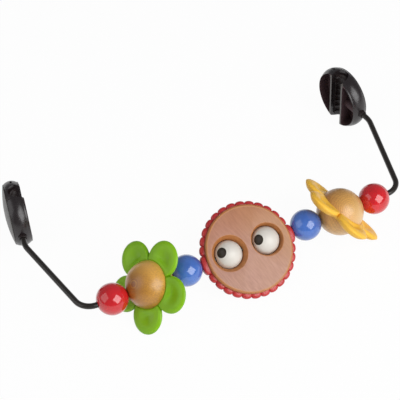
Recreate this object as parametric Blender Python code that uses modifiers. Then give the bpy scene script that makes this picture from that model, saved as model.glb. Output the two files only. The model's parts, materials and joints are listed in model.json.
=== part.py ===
"""Toy bar for a baby bouncer: a steel wire bent to a U, threaded with beads, two flowers and a
wooden face disc, with a round moulded clip on each end. Metres, +Z up.

The toy lies on a table, as it does when it is set down: on its two clips and its two flowers.
+X runs along the bar and +Y along the arms, from the bar to the clips. Everything is built in a
toy frame, whose origin is the middle of the bar and whose XY plane holds the wire, and that frame
is laid on the table at the end.
"""

from math import acos, asin, atan2, copysign, cos, degrees, pi, radians, sin, sqrt, tan

import bmesh
import bpy
import numpy as np
from mathutils import Matrix, Vector

# Clearances, and the overrun of every cutter past the face that it cuts
SEAT_GAP = 0.0003
OVERRUN = 0.002
MERGE_DISTANCE = 0.00001

# Steel wire, with its coat
WIRE_RADIUS = 0.00275
WIRE_SIDES_RESOLUTION = 4
BAR_BEND_RADIUS = 0.0165
CLIP_BEND_RADIUS = 0.025
ARM_LENGTH = 0.0994
ARM_SPLAY = radians(12.9)
CLIP_TOE_IN = radians(9.4)
WIRE_BORE_CLEARANCE = 0.0003
BORE_RADIUS = WIRE_RADIUS + WIRE_BORE_CLEARANCE

# Beads and balls, turned with a small flat round each end of the bore
BEAD_RADIUS = 0.015
BALL_RADIUS = 0.0225
END_FLAT_RADIUS = 0.004

# Wooden face disc, hung on the wire a little above its own centre
DISC_RADIUS = 0.0414
DISC_THICKNESS = 0.0155
DISC_EDGE_ROUND = 0.0012
DISC_DROP = 0.0023
DISC_TILT = radians(35.0)

# The two eye holes narrow from the face past the wire to the back
EYE_SPACING = 0.0384
LEFT_EYE_HOLE_RADIUS = 0.0168
RIGHT_EYE_HOLE_RADIUS = 0.0154
MIDDLE_HOLE_RADIUS = 0.0146
BACK_HOLE_RADIUS = 0.0118
EYE_HOLE_CHAMFER = 0.0004

# Eye beads, which have slid to the right, and the dark pupil let into each
EYE_RADIUS = 0.013
EYE_SLIDE = 0.0005
PUPIL_RADIUS = 0.0049
PUPIL_DEPTH = 0.0009
LEFT_PUPIL_FROM_BORE = radians(42.5)
LEFT_PUPIL_TURN = radians(13.4)
RIGHT_PUPIL_FROM_BORE = radians(40.7)
RIGHT_PUPIL_TURN = radians(27.5)

# Scalloped plastic ring round the disc: twelve degrees a lobe, and a smooth boss over two of them
# on each side, where the wire goes through
RING_LOBES = 30
LOBES_PER_BOSS = 2
RING_WALL = 0.0018
LOBE_HEIGHT = 0.0018
LOBE_HALF_WIDTH = 0.0032
BOSS_HALF_WIDTH = 0.0050
BOSS_RISE = 0.0017
BOSS_SQUARENESS = 2.2
RING_BAND_HALF_WIDTH = 0.0022

# Flowers: five spoon-shaped petals, round in outline, on a collar that is pressed over the ball
PETALS = 5
PETAL_RADIUS = 0.01702
PETAL_CENTRE_RADIUS = 0.02857
PETAL_RIM_HEIGHT = 0.00355
PETAL_DISH_DEPTH = 0.0032
PETAL_EDGE_ROUND = 0.0024
PETAL_BACK_BULGE = 0.0062
CREASE_DEPTH = 0.0014
COLLAR_TOP = 0.00282
COLLAR_BOTTOM = -0.00338
COLLAR_RADIUS = 0.0290
DISH_START_SHARE, DISH_END_SHARE = 0.30, 0.92
TOP_RUN_SHARES = (0.0, 0.25, 0.5, 0.75, 1.0)
BACK_RUN_SHARES = (1.0, 0.66, 0.33, 0.0)
FLOWER_LEAN = radians(41.9)
LEFT_FLOWER_TURN = radians(-15.7)
RIGHT_FLOWER_TURN = radians(6.2)
LEFT_PETAL_PHASE = radians(2.0)
RIGHT_PETAL_PHASE = radians(26.5)

# Clips: a round pod with its open face inwards and a channel for the bouncer's rail across it
CLIP_RADIUS = 0.0313
CLIP_CROWN = 0.0016
CLIP_BODY_DEPTH = 0.0150
CLIP_FACE_ROUND = 0.0015
CLIP_CENTRE_FROM_BEND = 0.0440
WIRE_DEPTH_IN_CLIP = 0.0080
CHANNEL_RADIUS = 0.0083
CHANNEL_DEPTH = 0.0125
CHANNEL_WALL = 0.0021
RIM_WALL = 0.0030
POCKET_FLOOR = 0.0032
POCKET_CORNER = 0.0025
WIRE_BOSS_RADIUS = 0.0050
WIRE_GRIP_LENGTH = 0.0180
SLOT_LENGTH = 0.0060
SLOT_WIDTH = 0.0018
SLOT_DEPTH = 0.0012
SLOT_ANGLE = radians(62)
SLOT_FROM_FACE = 0.0075

# Domed back cover, with a register that drops into the back of the clip body
COVER_DOME_HEIGHT = 0.0042
COVER_EDGE = 0.0007
COVER_INSET = 0.0004
REGISTER_RADIUS = 0.0262
REGISTER_DEPTH = 0.0010

# Ribbed rubber seat in the channel
GRIP_WALL = 0.0014
GRIP_RIB_HEIGHT = 0.0012
GRIP_RIB_PITCH = 0.0076
GRIP_RIBS = 7

# Grommet where the wire enters the rim
GROMMET_RADIUS = 0.0038
GROMMET_PROUD = 0.0030
GROMMET_ROUND = 0.0005
GROMMET_SEAT_DEPTH = 0.0030

# Facets
BEAD_STEPS, BEAD_ARC = 20, 8
BALL_STEPS, BALL_ARC = 28, 11
EYE_STEPS, EYE_ARC = 20, 8
DISC_STEPS = 54
PETAL_STEPS = 12
LOBE_STEPS = 4
SECTION_STEPS = 6
CLIP_STEPS = 42
CHANNEL_STEPS = 12
HOLE_STEPS = 24
ROD_STEPS = 16
BAR_BEND_STEPS, CLIP_BEND_STEPS = 8, 4

# Places along the bar, each piece a seat gap from the next
BEAD_HALF = sqrt(BEAD_RADIUS**2 - END_FLAT_RADIUS**2)
BALL_HALF = sqrt(BALL_RADIUS**2 - END_FLAT_RADIUS**2)
RING_INNER_RADIUS = DISC_RADIUS + SEAT_GAP
VALLEY_RADIUS = RING_INNER_RADIUS + RING_WALL
LOBE_RADIUS = VALLEY_RADIUS + LOBE_HEIGHT
BOSS_REACH = LOBE_RADIUS + BOSS_RISE
BLUE_BEAD_X = BOSS_REACH + SEAT_GAP + BEAD_HALF
BALL_X = BLUE_BEAD_X + BEAD_HALF + SEAT_GAP + BALL_HALF
RED_BEAD_X = BALL_X + BALL_HALF + SEAT_GAP + BEAD_HALF
BAR_TURN = pi / 2 - ARM_SPLAY
BAR_CORNER_X = RED_BEAD_X + BEAD_HALF + SEAT_GAP + BAR_BEND_RADIUS * tan(BAR_TURN / 2)

RIM_EDGE_RADIUS = CLIP_RADIUS - CLIP_CROWN

# Clip places, measured in the clip frame: X away from the bar, Y across, Z outwards from the face
CLIP_FACE_Z = -WIRE_DEPTH_IN_CLIP
CLIP_BACK_Z = CLIP_FACE_Z + CLIP_BODY_DEPTH
CHANNEL_AXIS_Z = CLIP_FACE_Z + CHANNEL_DEPTH - CHANNEL_RADIUS
POCKET_FLOOR_Z = CLIP_BACK_Z - POCKET_FLOOR
POCKET_EDGE_X = CHANNEL_RADIUS + CHANNEL_WALL
POCKET_RADIUS = CLIP_RADIUS - RIM_WALL
WIRE_END_X = -CLIP_RADIUS + WIRE_GRIP_LENGTH

MATERIALS = {
    "wire_black": ((0.012, 0.012, 0.013), 0.35, 0.6),
    "clip_black": ((0.014, 0.014, 0.015), 0.42, 0.0),
    "rubber_black": ((0.020, 0.020, 0.021), 0.75, 0.0),
    "bead_red": ((0.62, 0.020, 0.035), 0.12, 0.0),
    "bead_blue": ((0.075, 0.20, 0.60), 0.12, 0.0),
    "ball_wood": ((0.60, 0.33, 0.11), 0.30, 0.0),
    "disc_wood": ((0.58, 0.34, 0.23), 0.45, 0.0),
    "ring_red": ((0.63, 0.035, 0.045), 0.25, 0.0),
    "petal_green": ((0.16, 0.42, 0.015), 0.25, 0.0),
    "petal_yellow": ((0.88, 0.47, 0.025), 0.25, 0.0),
    "eye_white": ((0.80, 0.77, 0.68), 0.18, 0.0),
    "pupil_dark": ((0.030, 0.022, 0.020), 0.35, 0.0),
}


def clear_scene():
    for old in list(bpy.data.objects):
        bpy.data.objects.remove(old, do_unlink=True)


def collection(name):
    made = bpy.data.collections.new(name)
    bpy.context.scene.collection.children.link(made)
    return made


def principled(name):
    colour, roughness, metallic = MATERIALS[name]
    made = bpy.data.materials.get(name)
    if made is None:
        made = bpy.data.materials.new(name)
        made.use_nodes = True
        shader = made.node_tree.nodes["Principled BSDF"]
        shader.inputs["Base Color"].default_value = (*colour, 1.0)
        shader.inputs["Roughness"].default_value = roughness
        shader.inputs["Metallic"].default_value = metallic
        made.diffuse_color = (*colour, 1.0)
    return made


clear_scene()
TOY = collection("bouncer_toy_bar")
CUTTERS = collection("cutters")


def frame(name, parent=None, place=None):
    """An empty that carries pieces. place is its matrix in its parent's frame."""
    made = bpy.data.objects.new(name, None)
    made.empty_display_size = BEAD_RADIUS
    TOY.objects.link(made)
    made.parent = parent
    made.matrix_local = place or Matrix.Identity(4)
    return made


def add(name, mesh, parent, material=None, place=None):
    """A piece of the toy or, with no material, a cutter."""
    made = bpy.data.objects.new(name, mesh)
    (TOY if material else CUTTERS).objects.link(made)
    if material:
        mesh.materials.clear()
        mesh.materials.append(principled(material))
    else:
        made.hide_render = True
        made.display_type = "WIRE"
    made.parent = parent
    made.matrix_local = place or Matrix.Identity(4)
    return made


def boolean(piece, cutter, operation="DIFFERENCE"):
    step = piece.modifiers.new(operation.lower(), "BOOLEAN")
    step.operation = operation
    step.object = cutter


def shade(piece, angle=radians(35)):
    piece.data.shade_smooth()
    piece.data.set_sharp_from_angle(angle=angle)


def turned(profile, steps, closed=True):
    """A mesh turned round Z from (radius, height) points, which run down the outer side."""
    shape = bmesh.new()
    corners = [shape.verts.new((radius, 0, height)) for radius, height in profile]
    pairs = list(zip(corners, corners[1:]))
    if closed:
        pairs.append((corners[-1], corners[0]))
    for first, second in pairs:
        shape.edges.new((first, second))
    outline = bpy.data.meshes.new("outline")
    shape.to_mesh(outline)
    shape.free()
    lathe = bpy.data.objects.new("lathe", outline)
    TOY.objects.link(lathe)
    screw = lathe.modifiers.new("turn", "SCREW")
    screw.steps = screw.render_steps = steps
    screw.use_merge_vertices = True
    screw.merge_threshold = MERGE_DISTANCE
    return baked(lathe)


def baked(source):
    """The evaluated mesh of an object, welded, and the object removed."""
    bpy.context.view_layer.update()
    graph = bpy.context.evaluated_depsgraph_get()
    mesh = bpy.data.meshes.new_from_object(source.evaluated_get(graph))
    bpy.data.objects.remove(source, do_unlink=True)
    shape = bmesh.new()
    shape.from_mesh(mesh)
    bmesh.ops.remove_doubles(shape, verts=shape.verts, dist=MERGE_DISTANCE)
    bmesh.ops.recalc_face_normals(shape, faces=shape.faces)
    shape.to_mesh(mesh)
    shape.free()
    return mesh


def slab(outline, low, high):
    """A flat outline in XY made solid between two heights."""
    curve = bpy.data.curves.new("outline", "CURVE")
    curve.dimensions = "2D"
    curve.fill_mode = "BOTH"
    curve.extrude = (high - low) / 2
    run = curve.splines.new("POLY")
    run.points.add(len(outline) - 1)
    for point, (x, y) in zip(run.points, outline):
        point.co = (x, y, 0, 1)
    run.use_cyclic_u = True
    sheet = bpy.data.objects.new("sheet", curve)
    TOY.objects.link(sheet)
    mesh = baked(sheet)
    mesh.transform(Matrix.Translation((0, 0, (low + high) / 2)))
    return mesh


def rod(radius, low, high, steps):
    """A plain cylinder along Z."""
    shape = bmesh.new()
    bmesh.ops.create_cone(
        shape,
        cap_ends=True,
        segments=steps,
        radius1=radius,
        radius2=radius,
        depth=high - low,
        matrix=Matrix.Translation((0, 0, (low + high) / 2)),
    )
    mesh = bpy.data.meshes.new("rod")
    shape.to_mesh(mesh)
    shape.free()
    return mesh


def ball(radius, steps):
    shape = bmesh.new()
    bmesh.ops.create_uvsphere(shape, u_segments=steps, v_segments=steps // 2, radius=radius)
    mesh = bpy.data.meshes.new("ball")
    shape.to_mesh(mesh)
    shape.free()
    return mesh


def arc(centre, radius, start, end, steps):
    """Points on a circle in the plane of an outline or profile, from one angle to another."""
    angles = [start + (end - start) * step / steps for step in range(steps + 1)]
    return [(centre[0] + radius * cos(a), centre[1] + radius * sin(a)) for a in angles]


def axes(x, y, z, origin=(0, 0, 0)):
    """The matrix of a frame with these axes."""
    return Matrix.Translation(origin) @ Matrix((x, y, z)).transposed().to_4x4()


def along(direction, origin=(0, 0, 0)):
    """A frame whose Z points along a direction."""
    return Matrix.Translation(origin) @ Vector(direction).to_track_quat("Z", "X").to_matrix().to_4x4()


ALONG_BAR = Matrix.Rotation(pi / 2, 4, "Y")
ROOT = frame("toy_frame")


# The wire: one piece from clip to clip, bent four times
def bend(before, corner, after, radius, steps):
    """Points round one bend, from where it leaves the first straight to where it joins the next."""
    incoming = (corner - before).normalized()
    outgoing = (after - corner).normalized()
    turn = incoming.angle(outgoing)
    reach = radius * tan(turn / 2)
    start = corner - incoming * reach
    inward = (outgoing - incoming * incoming.dot(outgoing)).normalized()
    centre = start + inward * radius
    return [
        centre + radius * (incoming * sin(turn * step / steps) - inward * cos(turn * step / steps))
        for step in range(steps + 1)
    ]


def arm_direction(side):
    return Vector((side * sin(ARM_SPLAY), cos(ARM_SPLAY), 0))


def clip_direction(side):
    return Vector((-side * sin(CLIP_TOE_IN), cos(CLIP_TOE_IN), 0))


def arm_corner(side):
    return Vector((side * BAR_CORNER_X, 0, 0)) + ARM_LENGTH * arm_direction(side)


def clip_centre(side):
    return arm_corner(side) + CLIP_CENTRE_FROM_BEND * clip_direction(side)


def wire_end(side):
    return clip_centre(side) + WIRE_END_X * clip_direction(side)


def arm_points(side):
    """The wire from the bar to one clip."""
    middle = Vector((0, 0, 0))
    corner = Vector((side * BAR_CORNER_X, 0, 0))
    second = arm_corner(side)
    points = bend(middle, corner, second, BAR_BEND_RADIUS, BAR_BEND_STEPS)
    points += bend(corner, second, clip_centre(side), CLIP_BEND_RADIUS, CLIP_BEND_STEPS)
    points.append(wire_end(side))
    return points


def bar_wire():
    route = arm_points(-1)[::-1] + arm_points(1)
    curve = bpy.data.curves.new("bar_wire", "CURVE")
    curve.dimensions = "3D"
    curve.bevel_depth = WIRE_RADIUS
    curve.bevel_resolution = WIRE_SIDES_RESOLUTION
    curve.use_fill_caps = True
    run = curve.splines.new("POLY")
    run.points.add(len(route) - 1)
    for point, place in zip(run.points, route):
        point.co = (*place, 1)
    made = bpy.data.objects.new("bar_wire", curve)
    TOY.objects.link(made)
    curve.materials.append(principled("wire_black"))
    made.parent = ROOT


# Beads and wooden balls
def bored_ball(radius, steps, arc_steps):
    """A turned ball with the wire's bore through it and a flat round each mouth."""
    half = sqrt(radius**2 - END_FLAT_RADIUS**2)
    lip = asin(END_FLAT_RADIUS / radius)
    profile = arc((0, 0), radius, pi / 2 - lip, -pi / 2 + lip, arc_steps)
    profile += [(BORE_RADIUS, -half), (BORE_RADIUS, half)]
    return turned(profile, steps)


def threaded_balls():
    red = bored_ball(BEAD_RADIUS, BEAD_STEPS, BEAD_ARC)
    blue = red.copy()
    wood = bored_ball(BALL_RADIUS, BALL_STEPS, BALL_ARC)
    for mesh, label, material, x in (
        (red, "red_bead", "bead_red", RED_BEAD_X),
        (blue, "blue_bead", "bead_blue", BLUE_BEAD_X),
        (wood, "flower_ball", "ball_wood", BALL_X),
    ):
        for side, hand in ((-1, "left"), (1, "right")):
            place = Matrix.Translation((side * x, 0, 0)) @ ALONG_BAR
            shade(add(f"{label}_{hand}", mesh, ROOT, material, place))


# Flowers
def smooth(value, start, end):
    """Nought before the start and one past the end, with a soft run between them."""
    share = min(1.0, max(0.0, (value - start) / (end - start)))
    return share * share * (3 - 2 * share)


def petal_heights(x, y, crease):
    """Top and back of the flower at a point of one petal, whose middle lies along +X."""
    reach = sqrt(x * x + y * y)
    out = sqrt((x - PETAL_CENTRE_RADIUS) ** 2 + y * y) / PETAL_RADIUS
    dish = PETAL_RIM_HEIGHT - PETAL_DISH_DEPTH * (1 - smooth(out, DISH_START_SHARE, DISH_END_SHARE))
    edge = PETAL_RIM_HEIGHT - PETAL_EDGE_ROUND
    back = edge - PETAL_BACK_BULGE * max(0.0, 1 - out**4)
    petal = smooth(reach, BALL_RADIUS, COLLAR_RADIUS)
    top = COLLAR_TOP + (dish - COLLAR_TOP) * petal
    return top - crease * CREASE_DEPTH, COLLAR_BOTTOM + (back - COLLAR_BOTTOM) * petal


def flower_section(x, y, crease):
    """The cross section of the flower through its axis and a point of a petal's outline, as
    distances from the axis and heights, from the ball out over the top and home along the back."""
    seat = BALL_RADIUS + SEAT_GAP
    reach = sqrt(x * x + y * y)

    def at(distance):
        share = distance / reach
        return petal_heights(x * share, y * share, crease)

    def on_ball(height):
        return sqrt(seat * seat - height * height)

    crest = reach - PETAL_EDGE_ROUND
    section = []
    for share in TOP_RUN_SHARES:
        distance = seat + share * (crest - seat)
        height = at(distance)[0]
        section.append((distance if share else on_ball(height), height))
    edge = PETAL_RIM_HEIGHT - PETAL_EDGE_ROUND - crease * CREASE_DEPTH
    shoulder = PETAL_EDGE_ROUND * sin(pi / 4)
    section.append((crest + shoulder, edge + shoulder))
    section.append((reach, edge))
    for share in BACK_RUN_SHARES:
        distance = seat + share * (crest - seat)
        height = at(distance)[1]
        section.append((distance if share else on_ball(height), height))
    section.append((seat, 0))
    return section


def flower_mesh():
    """Five petals lofted round the flower's axis. The outline is five circles that overlap."""
    notch_angle = pi / PETALS
    half_chord = PETAL_CENTRE_RADIUS * sin(notch_angle)
    notch = PETAL_CENTRE_RADIUS * cos(notch_angle) + sqrt(PETAL_RADIUS**2 - half_chord**2)
    sweep = pi - acos((PETAL_CENTRE_RADIUS - notch * cos(notch_angle)) / PETAL_RADIUS)
    shape = bmesh.new()
    sections = []
    for petal in range(PETALS):
        for step in range(PETAL_STEPS):
            angle = sweep * (2 * step / PETAL_STEPS - 1)
            x = PETAL_CENTRE_RADIUS + PETAL_RADIUS * cos(angle)
            y = PETAL_RADIUS * sin(angle)
            around = 2 * petal * notch_angle + atan2(y, x)
            section = flower_section(x, y, 1.0 if step == 0 else 0.0)
            sections.append(
                [shape.verts.new((r * cos(around), r * sin(around), z)) for r, z in section]
            )
    return lofted(shape, sections, "flower")


def lofted(shape, sections, name):
    """Closes a row of sections into a ring with one skin."""
    for here, there in zip(sections, sections[1:] + sections[:1]):
        for point in range(len(here)):
            following = (point + 1) % len(here)
            shape.faces.new((here[point], here[following], there[following], there[point]))
    bmesh.ops.recalc_face_normals(shape, faces=shape.faces)
    mesh = bpy.data.meshes.new(name)
    shape.to_mesh(mesh)
    shape.free()
    return mesh


def flower_place(side, turn, phase):
    """The flower's axis leans out along the bar. Its petals are counted from the +Y side."""
    outward = Vector((side * cos(FLOWER_LEAN), sin(FLOWER_LEAN) * sin(turn), sin(FLOWER_LEAN) * cos(turn)))
    across = outward.cross(Vector((1, 0, 0))).normalized()
    lean = axes(across, outward.cross(across), outward, (side * BALL_X, 0, 0))
    return lean @ Matrix.Rotation(phase, 4, "Z")


def flowers():
    green = flower_mesh()
    yellow = green.copy()
    for label, mesh, material, side, turn, phase in (
        ("green_flower", green, "petal_green", -1, LEFT_FLOWER_TURN, LEFT_PETAL_PHASE),
        ("yellow_flower", yellow, "petal_yellow", 1, RIGHT_FLOWER_TURN, RIGHT_PETAL_PHASE),
    ):
        shade(add(label, mesh, ROOT, material, flower_place(side, turn, phase)))


# Face disc, its ring and its eyes
FACE = frame("face_frame", ROOT, Matrix.Rotation(DISC_TILT, 4, "X"))
DISC_CENTRE = Matrix.Translation((0, -DISC_DROP, 0))


def face_disc():
    half = DISC_THICKNESS / 2
    edge = DISC_EDGE_ROUND
    profile = [(0, half)]
    profile += arc((DISC_RADIUS - edge, half - edge), edge, pi / 2, 0, 3)
    profile += arc((DISC_RADIUS - edge, edge - half), edge, 0, -pi / 2, 3)
    profile.append((0, -half))
    disc = add("face_disc", turned(profile, DISC_STEPS, closed=False), FACE, "disc_wood", DISC_CENTRE)
    flare = EYE_HOLE_CHAMFER + OVERRUN
    for side, radius in ((-1, LEFT_EYE_HOLE_RADIUS), (1, RIGHT_EYE_HOLE_RADIUS)):
        hole = [
            (0, half + OVERRUN),
            (radius + flare, half + OVERRUN),
            (radius, half - EYE_HOLE_CHAMFER),
            (MIDDLE_HOLE_RADIUS, 0),
            (BACK_HOLE_RADIUS, -half),
            (BACK_HOLE_RADIUS, -half - OVERRUN),
            (0, -half - OVERRUN),
        ]
        place = Matrix.Translation((side * EYE_SPACING / 2, 0, 0))
        boolean(disc, add("eye_hole", turned(hole, HOLE_STEPS, closed=False), FACE, place=place))
    boolean(disc, add("disc_bore", rod(BORE_RADIUS, -BOSS_REACH, BOSS_REACH, ROD_STEPS), FACE, place=ALONG_BAR))
    shade(disc)


def ring_section(angle):
    """The ring's cross section at an angle round the disc, as distances from its axis and heights."""
    pitch = 2 * pi / RING_LOBES
    boss = pitch * LOBES_PER_BOSS / 2
    from_wire = abs((angle + pi / 2) % pi - pi / 2)
    if from_wire < boss:
        swell = sqrt(1 - (from_wire / boss) ** 2)
        reach = VALLEY_RADIUS + (BOSS_REACH / cos(from_wire) - VALLEY_RADIUS) * swell
        half = RING_BAND_HALF_WIDTH + swell * (BOSS_HALF_WIDTH - RING_BAND_HALF_WIDTH)
        squareness = 1 + swell * (BOSS_SQUARENESS - 1)
    else:
        swell = sqrt(max(0.0, 1 - (((from_wire - boss) % pitch) / pitch * 2 - 1) ** 2))
        reach = VALLEY_RADIUS + LOBE_HEIGHT * swell
        half = RING_BAND_HALF_WIDTH + swell * (LOBE_HALF_WIDTH - RING_BAND_HALF_WIDTH)
        squareness = 1
    section = []
    for step in range(SECTION_STEPS + 1):
        around = pi * step / SECTION_STEPS
        height = half * copysign(abs(cos(around)) ** (1 / squareness), cos(around))
        out = sin(around) ** (1 / squareness)
        section.append((RING_INNER_RADIUS + (reach - RING_INNER_RADIUS) * out, height))
    return section


def scalloped_ring():
    """A loft round the disc, because each lobe swells both outwards and in width."""
    count = RING_LOBES * LOBE_STEPS
    shape = bmesh.new()
    sections = []
    for step in range(count):
        around = 2 * pi * step / count
        points = ring_section(around)
        sections.append([shape.verts.new((r * cos(around), r * sin(around), z)) for r, z in points])
    mesh = lofted(shape, sections, "scalloped_ring")
    ring = add("scalloped_ring", mesh, FACE, "ring_red", DISC_CENTRE)
    bore = rod(BORE_RADIUS, -BOSS_REACH - OVERRUN, BOSS_REACH + OVERRUN, ROD_STEPS)
    boolean(ring, add("ring_bore", bore, FACE, place=ALONG_BAR))
    shade(ring)


def eye(hand, side, from_bore, turn):
    """A white bead on the wire, inside its hole in the disc, with its pupil turned to -X."""
    look = Vector((-cos(from_bore), -sin(from_bore) * sin(turn), sin(from_bore) * cos(turn)))
    place = Matrix.Translation((side * EYE_SPACING / 2 + EYE_SLIDE, 0, 0))
    white = bored_ball(EYE_RADIUS, EYE_STEPS, EYE_ARC)
    bead = add(f"eye_{hand}", white, ROOT, "eye_white", place @ ALONG_BAR)
    pupil_place = place @ along(look)
    crest = sqrt(EYE_RADIUS**2 - PUPIL_RADIUS**2)
    floor = crest - PUPIL_DEPTH
    seat = rod(PUPIL_RADIUS + SEAT_GAP, floor - SEAT_GAP, EYE_RADIUS + OVERRUN, HOLE_STEPS)
    boolean(bead, add(f"pupil_seat_{hand}", seat, ROOT, place=pupil_place))
    dome = arc((0, 0), EYE_RADIUS, pi / 2, acos(PUPIL_RADIUS / EYE_RADIUS), 3)
    profile = dome + [(PUPIL_RADIUS, floor), (0, floor)]
    pupil = add(f"pupil_{hand}", turned(profile, HOLE_STEPS, closed=False), ROOT, "pupil_dark", pupil_place)
    shade(bead)
    shade(pupil)


# Clips, in the clip frame
def clip_frame(hand, side):
    """The same clip serves both ends: the left one is turned over, so that its face looks inwards."""
    away = clip_direction(side)
    outward = Vector((side * cos(CLIP_TOE_IN), sin(CLIP_TOE_IN), 0))
    return frame(f"clip_frame_{hand}", ROOT, axes(away, outward.cross(away), outward, clip_centre(side)))


def rim_points():
    """The crowned rim from the back to the face, and the round into the face."""
    half = (CLIP_BODY_DEPTH - CLIP_FACE_ROUND) / 2
    crown = (half**2 + CLIP_CROWN**2) / (2 * CLIP_CROWN)
    spread = asin(half / crown)
    rim = arc((CLIP_RADIUS - crown, CLIP_BACK_Z - half), crown, spread, -spread, 6)
    corner = (RIM_EDGE_RADIUS - CLIP_FACE_ROUND, CLIP_FACE_Z + CLIP_FACE_ROUND)
    return rim + arc(corner, CLIP_FACE_ROUND, 0, -pi / 2, 3)[1:]


def clip_body_mesh():
    """A round moulding: rail channel, a hollow on each side of it, and the wire's socket."""
    profile = [(0, CLIP_BACK_Z)] + rim_points() + [(0, CLIP_FACE_Z)]
    body = add("clip_blank", turned(profile, CLIP_STEPS, closed=False), None)
    boolean(body, add("channel", channel_mesh(), None))
    for side in (-1, 1):
        boolean(body, add("pocket", pocket_mesh(side), None))
    socket = rod(WIRE_BOSS_RADIUS, RIM_WALL / 2 - CLIP_RADIUS, -CHANNEL_RADIUS - CHANNEL_WALL / 2, ROD_STEPS)
    boolean(body, add("wire_boss", socket, None, place=ALONG_BAR), "UNION")
    bore = rod(BORE_RADIUS, -CLIP_RADIUS - OVERRUN, WIRE_END_X + SEAT_GAP, ROD_STEPS)
    boolean(body, add("wire_socket", bore, None, place=ALONG_BAR))
    seat_radius = GROMMET_RADIUS + SEAT_GAP
    seat = rod(seat_radius, -CLIP_RADIUS - OVERRUN, GROMMET_SEAT_DEPTH + SEAT_GAP - CLIP_RADIUS, ROD_STEPS)
    boolean(body, add("grommet_seat", seat, None, place=ALONG_BAR))
    recess = rod(REGISTER_RADIUS + SEAT_GAP, CLIP_BACK_Z - REGISTER_DEPTH - SEAT_GAP, CLIP_BACK_Z + OVERRUN, CLIP_STEPS)
    boolean(body, add("register_recess", recess, None))
    for up in (-1, 1):
        boolean(body, add("rim_slot", slot_mesh(up), None))
    return baked(body)


def channel_mesh():
    """The rail's channel: a round seat, open to the face, running right across along Y."""
    seat = arc((0, CHANNEL_AXIS_Z), CHANNEL_RADIUS, 0, pi, CHANNEL_STEPS)
    mouth = CLIP_FACE_Z - OVERRUN
    outline = seat + [(-CHANNEL_RADIUS, mouth), (CHANNEL_RADIUS, mouth)]
    mesh = slab(outline, -CLIP_RADIUS - OVERRUN, CLIP_RADIUS + OVERRUN)
    mesh.transform(Matrix.Rotation(pi / 2, 4, "X"))
    return mesh


def pocket_mesh(side):
    """A hollow between the channel's wall and the rim, shaped like a D."""
    corner = POCKET_CORNER
    near = POCKET_EDGE_X + corner
    turn_radius = POCKET_RADIUS - corner
    tip = asin(near / turn_radius)
    top = (near, turn_radius * cos(tip))
    outline = arc(top, corner, pi, pi / 2 - tip, 4)
    outline += arc((0, 0), POCKET_RADIUS, pi / 2 - tip, tip - pi / 2, 16)[1:-1]
    outline += [(x, -y) for x, y in arc(top, corner, pi, pi / 2 - tip, 4)[::-1]]
    mesh = slab([(side * x, y) for x, y in outline], CLIP_FACE_Z - OVERRUN, POCKET_FLOOR_Z)
    return mesh


def slot_mesh(up):
    """The short slot in the rim, beyond the channel, on the upper and the lower side."""
    outline = []
    half, end = SLOT_WIDTH / 2, SLOT_LENGTH / 2
    outline += arc((end - half, 0), half, -pi / 2, pi / 2, 4)
    outline += arc((half - end, 0), half, pi / 2, 3 * pi / 2, 4)
    mesh = slab(outline, CLIP_RADIUS - SLOT_DEPTH, CLIP_RADIUS + OVERRUN)
    upright = Matrix.Rotation(pi / 2, 4, "Y")
    lift = Matrix.Translation((0, 0, CLIP_FACE_Z + SLOT_FROM_FACE))
    mesh.transform(lift @ Matrix.Rotation(up * SLOT_ANGLE, 4, "Z") @ upright @ Matrix.Rotation(pi / 2, 4, "Z"))
    return mesh


def clip_cover_mesh():
    """The closed back: a shallow dome on a thin straight edge, and the register under it."""
    base = CLIP_BACK_Z + SEAT_GAP
    reach = RIM_EDGE_RADIUS - COVER_INSET
    dome_radius = (reach**2 + COVER_DOME_HEIGHT**2) / (2 * COVER_DOME_HEIGHT)
    centre = base + COVER_EDGE + COVER_DOME_HEIGHT - dome_radius
    spread = asin(reach / dome_radius)
    profile = arc((0, centre), dome_radius, pi / 2, pi / 2 - spread, 5)
    profile += [(reach, base), (REGISTER_RADIUS, base)]
    profile += [(REGISTER_RADIUS, base - REGISTER_DEPTH), (0, base - REGISTER_DEPTH)]
    return turned(profile, CLIP_STEPS, closed=False)


def clip_grip_mesh():
    """Half of a ribbed sleeve: the rubber seat that bears on the rail."""
    outer = CHANNEL_RADIUS - SEAT_GAP
    inner = outer - GRIP_WALL
    half = sqrt(CLIP_RADIUS**2 - CHANNEL_RADIUS**2) - CLIP_FACE_ROUND
    rib = GRIP_RIB_PITCH / 4
    inside = [(inner, -half)]
    for step in range(GRIP_RIBS):
        height = (step - (GRIP_RIBS - 1) / 2) * GRIP_RIB_PITCH
        inside += [
            (inner, height - rib),
            (inner - GRIP_RIB_HEIGHT, height - rib / 3),
            (inner - GRIP_RIB_HEIGHT, height + rib / 3),
            (inner, height + rib),
        ]
    inside.append((inner, half))
    profile = [(outer, half), (outer, -half)] + inside
    sleeve = add("grip_sleeve", turned(profile, 2 * CHANNEL_STEPS), None)
    size = 2 * CLIP_RADIUS
    keep = bpy.data.meshes.new("keep")
    shape = bmesh.new()
    bmesh.ops.create_cube(shape, size=size, matrix=Matrix.Translation((0, -size / 2, 0)))
    shape.to_mesh(keep)
    shape.free()
    boolean(sleeve, add("grip_half", keep, None))
    mesh = baked(sleeve)
    mesh.transform(Matrix.Translation((0, 0, CHANNEL_AXIS_Z)) @ Matrix.Rotation(pi / 2, 4, "X"))
    return mesh


def grommet_mesh():
    """A short bush round the wire, standing a little proud of the rim."""
    outer_end = -CLIP_RADIUS - GROMMET_PROUD
    inner_end = GROMMET_SEAT_DEPTH - CLIP_RADIUS
    profile = [
        (GROMMET_RADIUS, inner_end),
        (GROMMET_RADIUS, outer_end + GROMMET_ROUND),
        (GROMMET_RADIUS - GROMMET_ROUND, outer_end),
        (BORE_RADIUS, outer_end),
        (BORE_RADIUS, inner_end),
    ]
    mesh = turned(profile, ROD_STEPS)
    mesh.transform(ALONG_BAR)
    return mesh


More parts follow.
